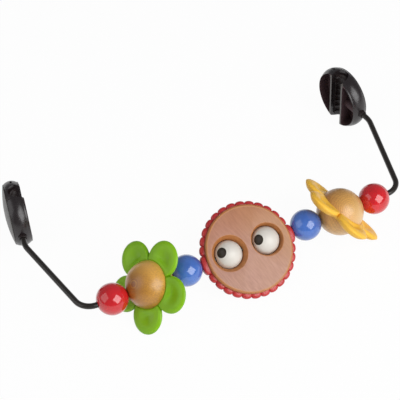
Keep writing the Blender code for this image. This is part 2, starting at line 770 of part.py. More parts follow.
def clips():
    pieces = (
        ("clip_body", clip_body_mesh(), "clip_black"),
        ("clip_cover", clip_cover_mesh(), "clip_black"),
        ("clip_grip", clip_grip_mesh(), "rubber_black"),
        ("wire_grommet", grommet_mesh(), "rubber_black"),
    )
    for hand, side in (("left", -1), ("right", 1)):
        holder = clip_frame(hand, side)
        for label, mesh, material in pieces:
            shade(add(f"{label}_{hand}", mesh, holder, material))


# Rest on the table
def toy_points(names):
    """The pieces' points in the toy frame."""
    graph = bpy.context.evaluated_depsgraph_get()
    found = []
    for piece in TOY.objects:
        if piece.type == "EMPTY" or not piece.name.startswith(names):
            continue
        evaluated = piece.evaluated_get(graph)
        mesh = evaluated.to_mesh()
        points = np.empty(len(mesh.vertices) * 3)
        mesh.vertices.foreach_get("co", points)
        evaluated.to_mesh_clear()
        place = np.array(ROOT.matrix_world.inverted() @ piece.matrix_world)
        found.append(points.reshape(-1, 3) @ place[:3, :3].T + place[:3, 3])
    return np.concatenate(found)


def lie_on_table():
    """Tips the toy about the bar until the clips and the bar's pieces are equally low, then stands
    it on z = 0 with the middle of its box over the origin."""
    bpy.context.view_layer.update()
    clip_points = toy_points(("clip_",))
    bar_points = toy_points(("green_", "yellow_", "face_", "scalloped_"))

    def low(points, tip):
        return (points[:, 1] * sin(tip) + points[:, 2] * cos(tip)).min()

    below, above = radians(-20), radians(20)
    for _ in range(40):
        tip = (below + above) / 2
        if low(clip_points, tip) < low(bar_points, tip):
            below = tip
        else:
            above = tip
    turn = Matrix.Rotation(tip, 4, "X")
    everything = toy_points(("",)) @ np.array(turn)[:3, :3].T
    least, most = everything.min(axis=0), everything.max(axis=0)
    middle = (least + most) / 2
    ROOT.matrix_world = Matrix.Translation((-middle[0], -middle[1], -least[2])) @ turn
    bpy.context.view_layer.update()
    return tip


bar_wire()
threaded_balls()
flowers()
face_disc()
scalloped_ring()
eye("left", -1, LEFT_PUPIL_FROM_BORE, LEFT_PUPIL_TURN)
eye("right", 1, RIGHT_PUPIL_FROM_BORE, RIGHT_PUPIL_TURN)
clips()
tipped = lie_on_table()

print("bar axis at", [round(v, 6) for v in ROOT.matrix_world.translation], "tipped", round(degrees(tipped), 4))
for hand, side in (("left", -1), ("right", 1)):
    print("clip", hand, [round(v, 6) for v in ROOT.matrix_world @ clip_centre(side)])
print("beads at x", round(BLUE_BEAD_X, 6), round(BALL_X, 6), round(RED_BEAD_X, 6))
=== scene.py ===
# %% [markdown]
# # A toy bar for a baby bouncer
# The toy bar is a steel wire bent to a U. Wooden beads, two flowers and a wooden face disc turn on
# its bar, and a round clip on each end snaps on to the rails of the bouncer. The solids come from
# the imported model. This lesson gives each of them its fine form and its finish, in the same place.

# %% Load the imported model
import json
from math import acos, asin, atan2, copysign, cos, degrees, hypot, pi, radians, sin, sqrt, tan

import bmesh
import bpy
from mathutils import Matrix, Vector

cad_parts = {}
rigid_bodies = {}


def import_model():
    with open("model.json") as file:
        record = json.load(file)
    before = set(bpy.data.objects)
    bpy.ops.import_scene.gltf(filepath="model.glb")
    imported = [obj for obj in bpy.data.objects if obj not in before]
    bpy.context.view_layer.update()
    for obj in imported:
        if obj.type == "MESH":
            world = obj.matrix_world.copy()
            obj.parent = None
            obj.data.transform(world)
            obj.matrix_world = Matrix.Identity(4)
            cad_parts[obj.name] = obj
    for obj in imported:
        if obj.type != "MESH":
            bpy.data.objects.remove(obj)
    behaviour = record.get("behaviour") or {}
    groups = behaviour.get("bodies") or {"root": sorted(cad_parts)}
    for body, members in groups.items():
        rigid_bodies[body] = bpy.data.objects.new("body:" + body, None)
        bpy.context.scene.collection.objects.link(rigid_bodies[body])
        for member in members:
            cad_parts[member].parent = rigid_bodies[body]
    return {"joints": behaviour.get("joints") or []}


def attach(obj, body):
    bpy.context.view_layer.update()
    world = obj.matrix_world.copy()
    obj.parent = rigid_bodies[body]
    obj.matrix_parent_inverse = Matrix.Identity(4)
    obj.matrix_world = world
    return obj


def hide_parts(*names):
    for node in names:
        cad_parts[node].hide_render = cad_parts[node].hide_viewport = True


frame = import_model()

for spare in ("Cube", "Light", "Camera"):
    if spare in bpy.data.objects:
        bpy.data.objects.remove(bpy.data.objects[spare])
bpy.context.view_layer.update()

# %% [markdown]
# Every piece is drawn in millimetres in the toy's own frame: the origin is the middle of the bar, X
# runs along it and Y along the arms. The toy lies on a table, so one matrix carries that frame to
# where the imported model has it. The hinge of the face gives the place of the bar.
#
# Some sizes serve many pieces: the radii of the wire and of a bore round it, the play of a loose
# piece and of a pressed one, how far a cutting tool runs past the surface that it cuts, and a
# length beyond all that is cut.

# %% The toy's frame
MM = 0.001
TIP = radians(-0.0789)
hinges = {joint["name"]: Vector(joint["pos_m"]) for joint in frame["joints"]}
TOY = Matrix.Translation(hinges["face_spin"]) @ Matrix.Rotation(TIP, 4, "X") @ Matrix.Scale(MM, 4)
ALONG_BAR = Matrix.Rotation(pi / 2, 4, "Y")
WIRE, BORE = 2.75, 3.05
GAP, SNUG, OVERRUN, FAR = 0.3, 0.05, 2.0, 60.0
print("bar axis at", [round(v, 4) for v in TOY.translation])

# %% [markdown]
# ## Camera
# The camera stands where the photographer stood: high in front of the bar and a little to the left,
# with a long lens. Its place, its turn and its lens were fitted to the outlines of the real toy.

# %% Camera
camera = bpy.data.objects.new("camera", bpy.data.cameras.new("camera"))
bpy.context.scene.collection.objects.link(camera)
camera.data.sensor_width = 36
camera.data.lens = 115.857
camera.data.clip_start, camera.data.clip_end = 0.05, 20
camera.location = (-0.32589, -0.77663, 0.94170)
camera.rotation_euler = (0.74813, 0.04869, -0.42955)
bpy.context.scene.camera = camera
print("camera at", [round(v, 3) for v in camera.location])

# %% [markdown]
# ## Materials
# A finish is a small graph of nodes on a Principled shader. These helpers add a node, a noise
# pattern on Object coordinates, a colour ramp and a bump, so that each finish below stays short.


# %% Helpers for finishes
class Finish:
    """One material, with short ways to add nodes to it."""

    def __init__(self, name):
        self.material = bpy.data.materials.new(name)
        self.material.use_nodes = True
        self.nodes = self.material.node_tree.nodes
        self.links = self.material.node_tree.links
        self.shader = self.nodes["Principled BSDF"]
        self.place = self.add("ShaderNodeTexCoord").outputs["Object"]

    def add(self, kind, **inputs):
        node = self.nodes.new(kind)
        for name, value in inputs.items():
            self.feed(node.inputs[name.replace("_", " ")], value)
        return node

    def feed(self, socket, value):
        if isinstance(value, bpy.types.NodeSocket):
            self.links.new(value, socket)
        else:
            socket.default_value = value

    def set(self, **inputs):
        for name, value in inputs.items():
            self.feed(self.shader.inputs[name.replace("_", " ")], value)

    def mapped(self, matrix, stretch=(1, 1, 1)):
        """Object coordinates seen from a frame given by its matrix, in metres, then stretched."""
        turn = matrix.to_3x3().normalized().transposed()
        back = self.add(
            "ShaderNodeMapping",
            Vector=self.place,
            Rotation=turn.to_euler(),
            Location=-(turn @ matrix.translation),
        )
        wide = self.add("ShaderNodeMapping", Vector=back.outputs["Vector"], Scale=stretch)
        return wide.outputs["Vector"]

    def parts(self, vector):
        """The three coordinates of a vector."""
        return self.add("ShaderNodeSeparateXYZ", Vector=vector).outputs

    def noise(self, scale, detail=3, where=None, distortion=0.0):
        node = self.add(
            "ShaderNodeTexNoise",
            Vector=where or self.place,
            Scale=scale,
            Detail=detail,
            Distortion=distortion,
        )
        return node.outputs["Fac"]

    def math(self, operation, first, second=0.0, third=0.0):
        node = self.nodes.new("ShaderNodeMath")
        node.operation = operation
        for socket, value in zip(node.inputs, (first, second, third)):
            self.feed(socket, value)
        return node.outputs[0]

    def length(self, x, y):
        """The length of a vector with these two parts."""
        squares = [self.math("MULTIPLY", part, part) for part in (x, y)]
        return self.math("SQRT", self.math("ADD", *squares))

    def span(self, value, start, end, kind="LINEAR"):
        """Nought to one as a value goes from a start to an end."""
        node = self.add("ShaderNodeMapRange", Value=value, From_Min=start, From_Max=end)
        node.interpolation_type = kind
        return node.outputs["Result"]

    def along(self, direction, centre, reach):
        """Nought to one along a direction, from a reach before a centre to a reach after it."""
        dot = self.add("ShaderNodeVectorMath")
        dot.operation = "DOT_PRODUCT"
        self.feed(dot.inputs[0], self.place)
        self.feed(dot.inputs[1], direction)
        middle = centre.dot(direction)
        return self.span(dot.outputs["Value"], middle - reach, middle + reach)

    def ramp(self, value, *stops):
        """A colour, or a grey if the stops are numbers, for a value between nought and one."""
        node = self.add("ShaderNodeValToRGB", Fac=value)
        band = node.color_ramp
        while len(band.elements) < len(stops):
            band.elements.new(0.5)
        for element, (place, colour) in zip(band.elements, stops):
            element.position = place
            element.color = (*(colour if isinstance(colour, tuple) else (colour,) * 3), 1)
        return node.outputs["Color"]

    def mix(self, share, first, second, how="MIX"):
        node = self.nodes.new("ShaderNodeMix")
        node.data_type = "RGBA"
        node.blend_type = how
        self.feed(node.inputs["Factor"], share)
        colours = [socket for socket in node.inputs if socket.type == "RGBA"]
        for socket, colour in zip(colours, (first, second)):
            self.feed(socket, (*colour, 1) if isinstance(colour, tuple) else colour)
        return [socket for socket in node.outputs if socket.type == "RGBA"][0]

    def bump(self, height, distance, strength=1.0, after=None):
        """A bump whose distance is the real height of the pattern, in millimetres."""
        node = self.add("ShaderNodeBump", Height=height, Strength=strength, Distance=distance * MM)
        if after:
            self.links.new(after, node.inputs["Normal"])
        self.set(Normal=node.outputs["Normal"])
        return node.outputs["Normal"]


# %% [markdown]
# The beads are dipped in gloss paint. The colour is a little deeper where the paint runs thicker,
# its surface has a soft orange peel, and a few duller patches come from small hands.


# %% Gloss paint
def gloss_paint(name, thin, thick, roughness=0.09, coat=0.7):
    paint = Finish(name)
    depth = paint.ramp(paint.noise(55, 2), (0.35, 0.0), (0.7, 1.0))
    dull = paint.noise(210, 4, distortion=0.6)
    paint.set(
        Base_Color=paint.mix(depth, thin, thick),
        Roughness=paint.ramp(dull, (0.45, roughness), (0.75, roughness + 0.1)),
        IOR=1.52,
        Coat_Weight=coat,
        Coat_Roughness=0.03 + roughness / 4,
    )
    paint.bump(paint.noise(420, 2), 0.012, 0.6)
    return paint.material


red_paint = gloss_paint("red_bead_paint", (0.67, 0.010, 0.018), (0.55, 0.006, 0.012))
blue_paint = gloss_paint("blue_bead_paint", (0.075, 0.19, 0.60), (0.045, 0.13, 0.47))
eye_paint = gloss_paint("eye_paint", (0.74, 0.70, 0.64), (0.69, 0.65, 0.585), 0.42, 0.1)
print("paints:", red_paint.name, blue_paint.name, eye_paint.name)

# %% [markdown]
# The balls in the flowers are turned from pale wood and lacquered. Growth rings are cylinders round
# the tree's middle, so the pattern is the distance from an axis, bent by noise and cut by fine
# pores that run along that axis. Painted light makes one side of a ball paler, and painted shade
# makes the other side darker. Round the point where the axis meets the surface a ball can be
# darker, with a faint ring or two.


# %% Lacquered wood
def turned_wood(name, matrix, light, dark, lit_side_tint, side, ring_scale, rings_seen, pole_mark):
    """Wood whose growth rings lie round the Z axis of a matrix, with painted light and shade from a
    side.
    """
    wood = Finish(name)
    where = wood.mapped(matrix)
    x, y = wood.parts(where)[:2]
    bend = wood.math("MULTIPLY_ADD", wood.noise(60, 3, where), 0.004, -0.002)
    away = wood.math("ADD", bend, wood.length(x, y))
    rings = wood.math("FRACT", wood.math("MULTIPLY", away, ring_scale))
    growth = wood.ramp(rings, (0.0, 0.0), (0.55, 0.45), (0.86, 1.0), (1.0, 0.05))
    pores = wood.noise(1000, 5, wood.mapped(matrix, (1, 1, 0.25)))
    streak = wood.ramp(pores, (0.46, 0.0), (0.6, 1.0))
    blotch = wood.ramp(wood.noise(75, 2, where), (0.3, 0.0), (0.75, 1.0))
    middle = tuple((a + b) / 2 for a, b in zip(light, dark))
    colour = wood.mix(wood.math("MULTIPLY", growth, rings_seen), light, middle)
    colour = wood.mix(wood.math("MULTIPLY", streak, 0.42), colour, dark)
    colour = wood.mix(wood.math("MULTIPLY", blotch, 0.5), colour, middle)
    # Painted light and shade: towards the given side the colour turns to the lit-side tint, and on
    # the far side it is painted darker.
    across = wood.along(side, matrix.translation, 22 * MM)
    colour = wood.mix(wood.ramp(across, (0.5, 0.0), (0.95, 0.55)), colour, lit_side_tint)
    colour = wood.mix(wood.ramp(across, (0.05, 0.5), (0.5, 0.0)), colour, dark)
    # Round the pole of the axis the colour turns darker, with a faint ring or two.
    core = wood.ramp(wood.math("MULTIPLY", away, 50), (0.1, pole_mark), (0.9, 0.0))
    mark = wood.ramp(
        wood.math("MULTIPLY", away, 170),
        (0.38, 0.0), (0.48, 1.0), (0.58, 0.0), (0.8, 0.0), (0.9, 0.35), (1.0, 0.0),
    )
    colour = wood.mix(core, colour, dark)
    wood.set(
        Base_Color=wood.mix(wood.math("MULTIPLY", mark, pole_mark * 0.6), colour, light),
        Roughness=wood.ramp(pores, (0.3, 0.29), (0.7, 0.44)),
        Coat_Weight=0.55,
        Coat_Roughness=0.34,
    )
    wood.bump(streak, 0.012, 0.4, wood.bump(growth, 0.015, 0.5))
    return wood.material


# %% [markdown]
# The plastic of the ring, petals and clips is moulded. It lets a little light in under its skin,
# which softens the shade on thin edges, and its skin has the very fine unevenness of the tool. The
# clips have two duller places: the end faces of the channel's walls, whose lighter grey is a painted
# reflection, and the rough hollows.


# %% Moulded plastic
def moulded(name, colour, deep, roughness, grain=900, height=0.006, glow=0.0, shine=0.5):
    plastic = Finish(name)
    cloud = plastic.ramp(plastic.noise(48, 2), (0.3, 0.0), (0.75, 1.0))
    dull = plastic.noise(330, 3)
    plastic.set(
        Base_Color=plastic.mix(cloud, colour, deep),
        Roughness=plastic.ramp(dull, (0.35, roughness - 0.04), (0.7, roughness + 0.06)),
        Specular_IOR_Level=shine,
        Subsurface_Weight=glow,
        Subsurface_Radius=(0.002, 0.002, 0.001),
        Subsurface_Scale=0.6,
    )
    plastic.bump(plastic.noise(grain, 3), height, 0.7)
    return plastic.material


ring_plastic = moulded(
    "ring_red_plastic", (0.55, 0.036, 0.036), (0.46, 0.024, 0.026), 0.31, glow=0.1
)
green_plastic = moulded(
    "green_petal_plastic", (0.255, 0.54, 0.008), (0.200, 0.440, 0.006), 0.37, glow=0.05, shine=0.34
)
yellow_plastic = moulded(
    "yellow_petal_plastic", (0.97, 0.57, 0.070), (0.93, 0.51, 0.050), 0.40, glow=0.08, shine=0.25
)
pupil_plastic = moulded(
    "pupil_plastic", (0.030, 0.020, 0.013), (0.022, 0.015, 0.010), 0.32, shine=0.35
)
clip_plastic = moulded(
    "clip_black_plastic", (0.016, 0.011, 0.012), (0.012, 0.008, 0.009), 0.28, 1500, 0.003,
    shine=0.62,
)
# A lighter grey for the end faces of the channel's walls: a painted reflection.
painted_reflection_plastic = moulded(
    "clip_rubbed_plastic", (0.085, 0.074, 0.066), (0.060, 0.052, 0.047), 0.3, 1500
)
inner_plastic = moulded(
    "clip_inner_plastic", (0.085, 0.050, 0.056), (0.065, 0.038, 0.042), 0.55, 1500, 0.01, shine=0.2
)
cover_plastic = moulded(
    "cover_black_plastic", (0.036, 0.032, 0.028), (0.028, 0.025, 0.022), 0.36, 1500, 0.01
)
seat_rubber = moulded(
    "seat_rubber", (0.022, 0.014, 0.014), (0.016, 0.011, 0.011), 0.4, 1200, 0.01, shine=0.25
)
print("finishes so far:", len(bpy.data.materials))

# %% [markdown]
# The wire is coated with black powder, which melts to a skin with a low orange peel. It is smoother
# than the plastic and picks up a long thin highlight.

# %% Powder coat
coat = Finish("wire_powder_coat")
coat.set(
    Base_Color=coat.mix(coat.noise(160, 3), (0.012, 0.010, 0.009), (0.022, 0.017, 0.014)),
    Roughness=coat.ramp(coat.noise(500, 3), (0.3, 0.24), (0.7, 0.36)),
    Coat_Weight=0.15,
    Coat_Roughness=0.1,
    Specular_IOR_Level=0.38,
)
coat.bump(coat.noise(1100, 2), 0.02, 0.7)
print("coat:", coat.material.name)

# %% [markdown]
# ## Making and placing a piece
# Round pieces are turned: a profile of radius and height is swept round an axis. The profile runs
# down the outer side, so that the faces point outwards. A piece whose section changes on the way
# round is a fan of sections with a skin over them. A finished mesh is carried to its place by its
# matrix, then it rides on its body and stands for its solid.


# %% Helpers for shapes
def arc(x, y, radius, start, end, steps):
    """Points on a circle, from one angle to another in degrees."""
    angles = [radians(start + (end - start) * step / steps) for step in range(steps + 1)]
    return [(x + radius * cos(a), y + radius * sin(a)) for a in angles]


def smooth(value, start, end):
    """Nought to one as a value goes from a start to an end, with no kink at either."""
    share = min(1.0, max(0.0, (value - start) / (end - start)))
    return share * share * (3 - 2 * share)


def mesh_from(shape, name):
    bmesh.ops.remove_doubles(shape, verts=shape.verts, dist=0.001)
    bmesh.ops.recalc_face_normals(shape, faces=shape.faces)
    mesh = bpy.data.meshes.new(name)
    shape.to_mesh(mesh)
    shape.free()
    return mesh


def welded(name, *meshes):
    """One mesh from several, with the points that fall together made one."""
    shape = bmesh.new()
    for mesh in meshes:
        shape.from_mesh(mesh)
    return mesh_from(shape, name)


def turned(profile, steps, closed=False):
    """A mesh turned round Z from points of radius and height."""
    shape = bmesh.new()
    rings = []
    for radius, height in profile:
        angles = [2 * pi * k / steps for k in range(steps if radius > 0.0001 else 1)]
        rings.append([shape.verts.new((radius * cos(a), radius * sin(a), height)) for a in angles])
    for upper, lower in list(zip(rings, rings[1:])) + ([(rings[-1], rings[0])] if closed else []):
        for k in range(steps):
            following = (k + 1) % steps
            corners = [
                upper[k % len(upper)],
                lower[k % len(lower)],
                lower[following % len(lower)],
                upper[following % len(upper)],
            ]
            shape.faces.new(list(dict.fromkeys(corners)))
    return mesh_from(shape, "turned")


def rod(radius, low, high):
    """A rod along X."""
    mesh = turned([(0, high), (radius, high), (radius, low), (0, low)], 40)
    mesh.transform(ALONG_BAR)
    return mesh


def skinned(shape, loops, name, capped):
    """The skin over a row of loops of vertices, with both ends closed if it is capped."""
    for here, there in zip(loops, loops[1:]):
        for point in range(len(here)):
            following = (point + 1) % len(here)
            shape.faces.new((here[point], here[following], there[following], there[point]))
    if capped:
        shape.faces.new(loops[0][::-1])
        shape.faces.new(loops[-1])
    return mesh_from(shape, name)


def fan(sections, name, capped=False):
    """A mesh over sections, each an angle round Z and its points of radius and height."""
    shape = bmesh.new()
    loops = [
        [shape.verts.new((r * cos(around), r * sin(around), z)) for r, z in section]
        for around, section in sections
    ]
    return skinned(shape, loops, name, capped)


def slab(outline, low, high):
    """A flat outline in XY made solid between two heights."""
    shape = bmesh.new()
    loops = [[shape.verts.new((x, y, z)) for x, y in outline] for z in (low, high)]
    return skinned(shape, loops, "slab", True)


def settled(made, *helpers):
    """The mesh that an object's modifiers make, and the object and its helpers removed."""
    bpy.context.view_layer.update()
    graph = bpy.context.evaluated_depsgraph_get()
    mesh = bpy.data.meshes.new_from_object(made.evaluated_get(graph))
    for spent in (made, *helpers):
        bpy.data.objects.remove(spent)
    return mesh


def carved(mesh, tool, how="DIFFERENCE"):
    """The mesh with a tool cut from it or joined to it."""
    block = bpy.data.objects.new("block", mesh)
    cutter = bpy.data.objects.new("cutter", tool)
    for made in (block, cutter):
        bpy.context.scene.collection.objects.link(made)
    step = block.modifiers.new(how, "BOOLEAN")
    step.operation, step.object = how, cutter
    return settled(block, cutter)


def eased(mesh, width, segments=2, angle=35):
    """The mesh with its sharp edges rounded by a bevel."""
    made = bpy.data.objects.new("eased", mesh)
    bpy.context.scene.collection.objects.link(made)
    bevel = made.modifiers.new("ease", "BEVEL")
    bevel.width, bevel.segments = width, segments
    bevel.limit_method, bevel.angle_limit = "ANGLE", radians(angle)
    bevel.miter_outer = "MITER_ARC"
    return settled(made)


def axes(x, y, z, origin=(0, 0, 0)):
    """The matrix of a frame with these axes."""
    return Matrix.Translation(origin) @ Matrix((x, y, z)).transposed().to_4x4()


def facing(direction):
    """A turn that points Z in a direction."""
    return direction.to_track_quat("Z", "X").to_matrix().to_4x4()


def piece(name, mesh, body, nodes, slot, materials, place=Matrix.Identity(4), sharp=38):
    mesh.transform(TOY @ place)
    for material in materials if isinstance(materials, tuple) else (materials,):
        mesh.materials.append(material)
    mesh.shade_smooth()
    mesh.set_sharp_from_angle(angle=radians(sharp))
    made = bpy.data.objects.new(name, mesh)
    bpy.context.scene.collection.objects.link(made)
    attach(made, body)
    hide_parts(*nodes)
    print(name, "on", body, len(mesh.polygons), "faces")


# %% [markdown]
# ## What repeats
# Ring lobes, petals and the ribs of the rubber seats are one form set out many times. One Geometry
# Nodes tree does it: it puts a copy of the piece on each of a row of points, turns and moves each
# copy a step further, then makes the copies real and welds them.


# %% A tree that sets out copies
def new_tree(name, *inputs):
    """A tree that takes a mesh and some inputs, each a name and a kind, and gives a mesh."""
    tree = bpy.data.node_groups.new(name, "GeometryNodeTree")
    for socket, kind in (("Geometry", "Geometry"), *inputs):
        tree.interface.new_socket(socket, in_out="INPUT", socket_type=f"NodeSocket{kind}")
    tree.interface.new_socket("Geometry", in_out="OUTPUT", socket_type="NodeSocketGeometry")
    return tree


def repeat_tree():
    tree = new_tree(
        "set_out_copies",
        ("Count", "Int"),
        ("First turn", "Float"),
        ("Turn step", "Float"),
        ("First height", "Float"),
        ("Height step", "Float"),
    )
    add, link = tree.nodes.new, tree.links.new
    given, made = add("NodeGroupInput"), add("NodeGroupOutput")

    def run(first, step):
        """A vector along Z whose length grows by a step from each copy to the next."""
        index = add("GeometryNodeInputIndex")
        grown = add("ShaderNodeMath")
        grown.operation = "MULTIPLY_ADD"
        link(index.outputs[0], grown.inputs[0])
        link(given.outputs[step], grown.inputs[1])
        link(given.outputs[first], grown.inputs[2])
        vector = add("ShaderNodeCombineXYZ")
        link(grown.outputs[0], vector.inputs["Z"])
        return vector.outputs["Vector"]

    points, copies = add("GeometryNodePoints"), add("GeometryNodeInstanceOnPoints")
    spin = add("FunctionNodeEulerToRotation")
    real, weld = add("GeometryNodeRealizeInstances"), add("GeometryNodeMergeByDistance")
    weld.inputs["Distance"].default_value = 0.002
    link(given.outputs["Count"], points.inputs["Count"])
    link(run("First height", "Height step"), points.inputs["Position"])
    link(run("First turn", "Turn step"), spin.inputs[0])
    link(points.outputs[0], copies.inputs["Points"])
    link(given.outputs["Geometry"], copies.inputs["Instance"])
    link(spin.outputs[0], copies.inputs["Rotation"])
    link(copies.outputs[0], real.inputs[0])
    link(real.outputs[0], weld.inputs["Geometry"])
    link(weld.outputs[0], made.inputs[0])
    return tree


COPIES = repeat_tree()


def set_out(mesh, tree=COPIES, **inputs):
    """The mesh that a tree makes of one mesh, with inputs named as its sockets."""
    made = bpy.data.objects.new("set_out", mesh)
    bpy.context.scene.collection.objects.link(made)
    step = made.modifiers.new("set_out", "NODES")
    step.node_group = tree
    for socket in tree.interface.items_tree:
        name = socket.name.replace(" ", "_")
        if socket.in_out == "INPUT" and name in inputs:
            step[socket.identifier] = inputs[name]
    return settled(made)


# %% [markdown]
# ## The wire
# One length of steel wire is bent four times: at each end of the bar, and above each clip. The path
# is made of straights and round bends, and a second tree sweeps a circle along it.


# %% The path of the wire
BAR_CORNER, BAR_BEND = 163.472, 16.5
ARM, SPLAY = 99.4, radians(12.9)
CLIP_BEND, TOE_IN, CLIP_FROM_BEND = 25.0, radians(9.4), 44.0
CLIP_RADIUS, WIRE_END = 32.0, -13.3


def bar_corner(side):
    return Vector((side * BAR_CORNER, 0, 0))


def clip_corner(side):
    return bar_corner(side) + ARM * Vector((side * sin(SPLAY), cos(SPLAY), 0))


def clip_direction(side):
    return Vector((-side * sin(TOE_IN), cos(TOE_IN), 0))


def clip_centre(side):
    return clip_corner(side) + CLIP_FROM_BEND * clip_direction(side)


def bend(before, corner, after, radius, steps):
    """Points round one bend, from where it leaves one straight to where it joins the next."""
    incoming, outgoing = (corner - before).normalized(), (after - corner).normalized()
    turn = incoming.angle(outgoing)
    inward = (outgoing - incoming * incoming.dot(outgoing)).normalized()
    centre = corner - incoming * radius * tan(turn / 2) + inward * radius
    angles = [turn * k / steps for k in range(steps + 1)]
    return [centre + radius * (incoming * sin(a) - inward * cos(a)) for a in angles]


def half_path(side):
    first, second, clip = bar_corner(side), clip_corner(side), clip_centre(side)
    points = bend(Vector((0, 0, 0)), first, second, BAR_BEND, 20)
    points += bend(first, second, clip, CLIP_BEND, 10)
    return points + [clip + WIRE_END * clip_direction(side)]


wire_path = half_path(-1)[::-1] + half_path(1)
print("wire:", round(sum((a - b).length for a, b in zip(wire_path, wire_path[1:]))), "mm long")


# %% Sweep the wire
def sweep_tree():
    tree = new_tree("sweep_round_wire", ("Wire radius", "Float"))
    add, link = tree.nodes.new, tree.links.new
    given, made = add("NodeGroupInput"), add("NodeGroupOutput")
    line, circle = add("GeometryNodeMeshToCurve"), add("GeometryNodeCurvePrimitiveCircle")
    sweep = add("GeometryNodeCurveToMesh")
    circle.inputs["Resolution"].default_value = 32
    sweep.inputs["Fill Caps"].default_value = True
    link(given.outputs["Geometry"], line.inputs["Mesh"])
    link(given.outputs["Wire radius"], circle.inputs["Radius"])
    link(line.outputs[0], sweep.inputs["Curve"])
    link(circle.outputs[0], sweep.inputs["Profile Curve"])
    link(sweep.outputs[0], made.inputs[0])
    return tree


line = bpy.data.meshes.new("wire_path")
line.from_pydata(wire_path, [(k, k + 1) for k in range(len(wire_path) - 1)], [])
wire_mesh = welded("wire", set_out(line, sweep_tree(), Wire_radius=WIRE))
piece("toy_bar_wire", wire_mesh, "frame", ["bar_wire"], "wire_black", coat.material)

# %% [markdown]
# ## Beads
# A bead is a turned ball with a bore along the wire. A small flat round each mouth, with its edge
# eased, is where it runs against its neighbour.

# %% Beads
BEAD_RADIUS, BEAD_PLACES = 15.0, {"red": 135.5537, "blue": 61.7568}
SINK_WIDTH, SINK_DEPTH = 0.35, 0.4


def bored_ball(radius, steps, flat=4.0, ease=0.5):
    """A turned ball with a bore and a flat round each of its countersunk mouths."""
    half = sqrt(radius**2 - flat**2)
    lip = 90 - degrees(asin((flat + ease / 2) / radius))
    mouth = [(flat - ease, -half), (BORE + SINK_WIDTH, -half), (BORE, -half + SINK_DEPTH)]
    profile = [(r, -h) for r, h in mouth[::-1]] + arc(0, 0, radius, lip, -lip, steps // 2) + mouth
    return turned(profile, steps, closed=True)


for hand, side in (("left", -1), ("right", 1)):
    for colour, paint in (("red", red_paint), ("blue", blue_paint)):
        piece(
            f"{colour}_painted_bead_{hand}",
            bored_ball(BEAD_RADIUS, 72),
            f"{hand}_{colour}",
            [f"{colour}_bead_{hand}"],
            f"bead_{colour}",
            paint,
            Matrix.Translation((side * BEAD_PLACES[colour], 0, 0)) @ ALONG_BAR,
        )

# %% [markdown]
# The wooden ball in each flower is turned from one piece. The left one shows the end of its grain
# at the pole of the flower, and the right one has its growth rings on the front.

# %% Wooden balls
BALL_RADIUS, BALL_X = 22.5, 98.6554
LEAN = radians(41.9)


def flower_place(side, turn, phase):
    """The flower's axis leans out along the bar, and its petals are counted from the arms' side."""
    out = Vector((side * cos(LEAN), sin(LEAN) * sin(turn), sin(LEAN) * cos(turn)))
    across = out.cross(Vector((1, 0, 0))).normalized()
    lean = axes(across, out.cross(across), out, (side * BALL_X, 0, 0))
    return lean @ Matrix.Rotation(phase, 4, "Z")


LEFT_FLOWER = flower_place(-1, radians(-15.7), radians(2.0))
RIGHT_FLOWER = flower_place(1, radians(6.2), radians(26.5))
RIGHT_GRAIN = Matrix.Translation((BALL_X, 0, 0)) @ facing(Vector((0.16, -0.694, 0.701)))
# Painted light: the left ball is painted paler towards its top, the right ball towards its lower
# front.
left_wood = turned_wood(
    "left_ball_wood",
    TOY @ LEFT_FLOWER,
    light=(0.71, 0.355, 0.036),
    dark=(0.24, 0.074, 0.014),
    lit_side_tint=(0.90, 0.50, 0.13),
    side=Vector((0.4, 0.6, 0.69)),
    ring_scale=560,
    rings_seen=0.4,
    pole_mark=0.9,
)
right_wood = turned_wood(
    "right_ball_wood",
    TOY @ RIGHT_GRAIN,
    light=(0.80, 0.44, 0.11),
    dark=(0.36, 0.145, 0.034),
    lit_side_tint=(0.80, 0.60, 0.32),
    side=Vector((0.5, -0.75, -0.43)),
    ring_scale=540,
    rings_seen=0.95,
    pole_mark=0.0,
)
for hand, side, wood in (("left", -1, left_wood), ("right", 1, right_wood)):
    piece(
        f"wooden_ball_{hand}",
        bored_ball(BALL_RADIUS, 96),
        f"{hand}_flower",
        [f"flower_ball_{hand}"],
        "ball_wood",
        wood,
        Matrix.Translation((side * BALL_X, 0, 0)) @ ALONG_BAR,
    )

# %% [markdown]
# ## Flowers
# A flower is one moulding: a collar pressed over the ball, and five petals like shallow spoons with
# a thick round rim. One petal is a fan of sections through the flower's axis, from the ball out
# over the dish and the rim, and home along the back. A crease runs down between two petals, and a
# shallow groove lies round the ball. The tree sets the petal out five times.

# %% One petal
PETALS, PETAL_RADIUS, PETAL_CENTRE = 5, 17.0, 28.57
DISH_DEPTH, DISH_REACH, BACK_BULGE = 2.4, 0.66, 6.0
RIM_HEIGHT, EDGE_ROUND, EDGE_REACH = 3.9, 3.0, 5.8
CREASE, CREASE_SPREAD = 1.1, radians(2.4)
COLLAR_TOP, COLLAR_BOTTOM, COLLAR_RADIUS = 4.2, -3.38, 29.0
GROOVE, GROOVE_WIDTH = 0.6, 1.0
BALL_SEAT = BALL_RADIUS + SNUG


def petal_heights(x, y, crease):
    """Top and back of the flower at a point of the petal that lies along X."""
    out, reach = hypot(x - PETAL_CENTRE, y) / PETAL_RADIUS, hypot(x, y)
    dish = RIM_HEIGHT - DISH_DEPTH * (1 - smooth(out, 0.0, DISH_REACH))
    back = RIM_HEIGHT - EDGE_ROUND - BACK_BULGE * max(0.0, 1 - out**4)
    petal = smooth(reach, BALL_RADIUS, COLLAR_RADIUS)
    crease += GROOVE * (1 - smooth(reach, BALL_SEAT, BALL_RADIUS + GROOVE_WIDTH))
    top = COLLAR_TOP + (dish - COLLAR_TOP) * petal - crease
    return top, COLLAR_BOTTOM + (back - COLLAR_BOTTOM) * petal


